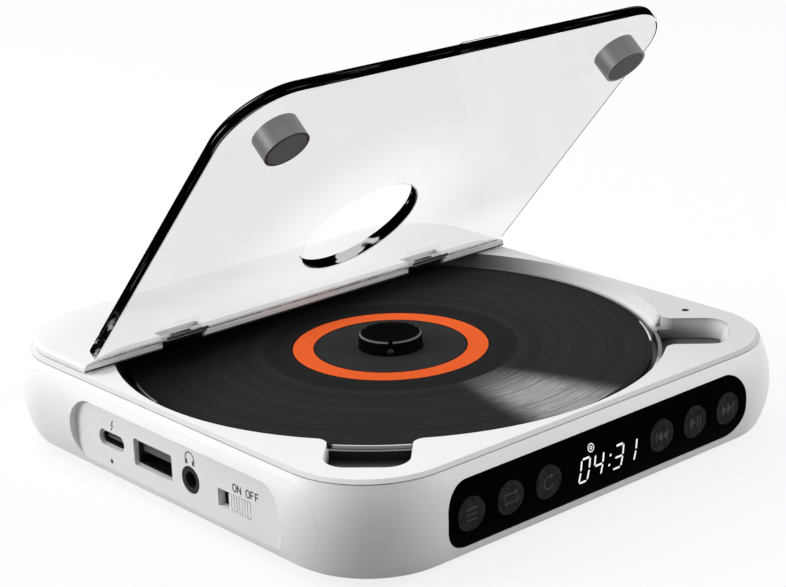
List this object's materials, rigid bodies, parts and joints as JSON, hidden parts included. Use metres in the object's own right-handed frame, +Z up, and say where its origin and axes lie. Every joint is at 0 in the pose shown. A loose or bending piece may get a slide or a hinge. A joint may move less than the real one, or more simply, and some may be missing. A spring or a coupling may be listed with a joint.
{
  "type": "disc player",
  "caption": "Small square disc player with a clear hinged lid, an open hub in a round well, a black display strip with round buttons, side sockets and keyholes for a wall.",
  "frame": {"origin": "middle of the case in plan, on the surface that its feet rest on", "axes": "+Z up with the player lying on its feet, +X to the right seen from the display, -Y towards the display, -X towards the sockets"},
  "size_m": [0.136, 0.135, 0.0957],
  "materials": {
    "shell_white": "satin",
    "window_black": "gloss",
    "button_black": "satin",
    "inner_black": "matte",
    "hinge_grey": "satin",
    "disc_black": "gloss, grooved",
    "hub_black": "satin",
    "clear": "clear gloss",
    "foot_metal": "satin",
    "pad_dark": "matte, finely pitted",
    "rubber_grey": "matte",
    "steel": "satin",
    "socket_steel": "bright",
    "magnet": "bright",
    "foil": "satin",
    "board_green": "satin",
    "knob_white": "satin",
    "light": "gloss",
    "light_clear": "clear gloss",
    "lens_glass": "gloss"
  },
  "bodies": {
    "case": {"top_cover": "shell_white", "side_shell": "shell_white", "bottom_cover": "shell_white", "rear_cover": "shell_white", "display_window": "window_black", "display_module": "inner_black", "key_board": "board_green", "key_switches": "steel", "usb_c_socket": "socket_steel", "usb_a_socket": "socket_steel", "headphone_socket": "inner_black", "mode_switch": "steel", "charge_light": "light", "light_pipe": "light_clear", "main_board": "board_green", "board_screws": "steel", "battery": "foil", "feet": "rubber_grey", "case_screws": "steel", "rear_cover_screws": "steel", "hinge_bracket_left": "hinge_grey", "hinge_bracket_right": "hinge_grey", "hinge_pin_left": "steel", "hinge_pin_right": "steel", "chassis": "hinge_grey", "dampers": "rubber_grey", "damper_screws": "steel", "spindle_motor": "steel", "main_rod": "steel", "side_rod": "steel", "sled_motor": "steel", "screw_bearing": "knob_white", "lid_sensor": "inner_black", "catch_magnets": "magnet"},
    "lid": {"lid_panel": "clear", "lid_foot_left": "foot_metal", "lid_foot_right": "foot_metal", "lid_pad_left": "pad_dark", "lid_pad_right": "pad_dark", "hinge_arm_left": "hinge_grey", "hinge_arm_right": "hinge_grey"},
    "rotor": {"turntable": "hub_black", "spindle_shaft": "steel", "disc": "disc_black", "disc_balls": "steel"},
    "sled": {"sled": "inner_black", "screw_follower": "knob_white"},
    "lens": {"lens_holder": "inner_black", "lens": "lens_glass"},
    "lead_screw": {"lead_screw": "steel"},
    "switch_knob": {"switch_knob": "knob_white"},
    "button_menu": {"button_menu": "button_black"},
    "button_repeat": {"button_repeat": "button_black"},
    "button_loop": {"button_loop": "button_black"},
    "button_previous": {"button_previous": "button_black"},
    "button_play": {"button_play": "button_black"},
    "button_next": {"button_next": "button_black"}
  },
  "joints": [
    {"name": "lid_hinge", "type": "hinge", "parent": "case", "child": "lid", "pos_m": [0, 0.03126, 0.0248], "axis": [-1, 0, 0], "range_deg": [-48.5, 31.5]},
    {"name": "disc_spin", "type": "hinge", "parent": "case", "child": "rotor", "pos_m": [0, 0.0005, 0.0191], "axis": [0, 0, 1], "continuous": true},
    {"name": "sled_slide", "type": "slide", "parent": "case", "child": "sled", "axis": [0.7071, 0.7071, 0], "range_m": [0, 0.034]},
    {"name": "lens_focus", "type": "slide", "parent": "sled", "child": "lens", "axis": [0, 0, 1], "range_m": [-0.0004, 0.0004], "stiffness_N_per_m": 200},
    {"name": "lead_screw_turn", "type": "hinge", "parent": "case", "child": "lead_screw", "pos_m": [0.01315, -0.01265, 0.0084], "axis": [0.7071, 0.7071, 0], "range_deg": [0, 4090]},
    {"name": "switch_slide", "type": "slide", "parent": "case", "child": "switch_knob", "axis": [0, 1, 0], "range_m": [0, 0.0032]},
    {"name": "button_menu_press", "type": "slide", "parent": "case", "child": "button_menu", "axis": [0, 1, 0], "range_m": [0, 0.0004], "stiffness_N_per_m": 300},
    {"name": "button_repeat_press", "type": "slide", "parent": "case", "child": "button_repeat", "axis": [0, 1, 0], "range_m": [0, 0.0004], "stiffness_N_per_m": 300},
    {"name": "button_loop_press", "type": "slide", "parent": "case", "child": "button_loop", "axis": [0, 1, 0], "range_m": [0, 0.0004], "stiffness_N_per_m": 300},
    {"name": "button_previous_press", "type": "slide", "parent": "case", "child": "button_previous", "axis": [0, 1, 0], "range_m": [0, 0.0004], "stiffness_N_per_m": 300},
    {"name": "button_play_press", "type": "slide", "parent": "case", "child": "button_play", "axis": [0, 1, 0], "range_m": [0, 0.0004], "stiffness_N_per_m": 300},
    {"name": "button_next_press", "type": "slide", "parent": "case", "child": "button_next", "axis": [0, 1, 0], "range_m": [0, 0.0004], "stiffness_N_per_m": 300}
  ],
  "couplings": [
    {"joint": "lead_screw_turn", "follows": "sled_slide", "rad_per_m": 2094.4}
  ]
}
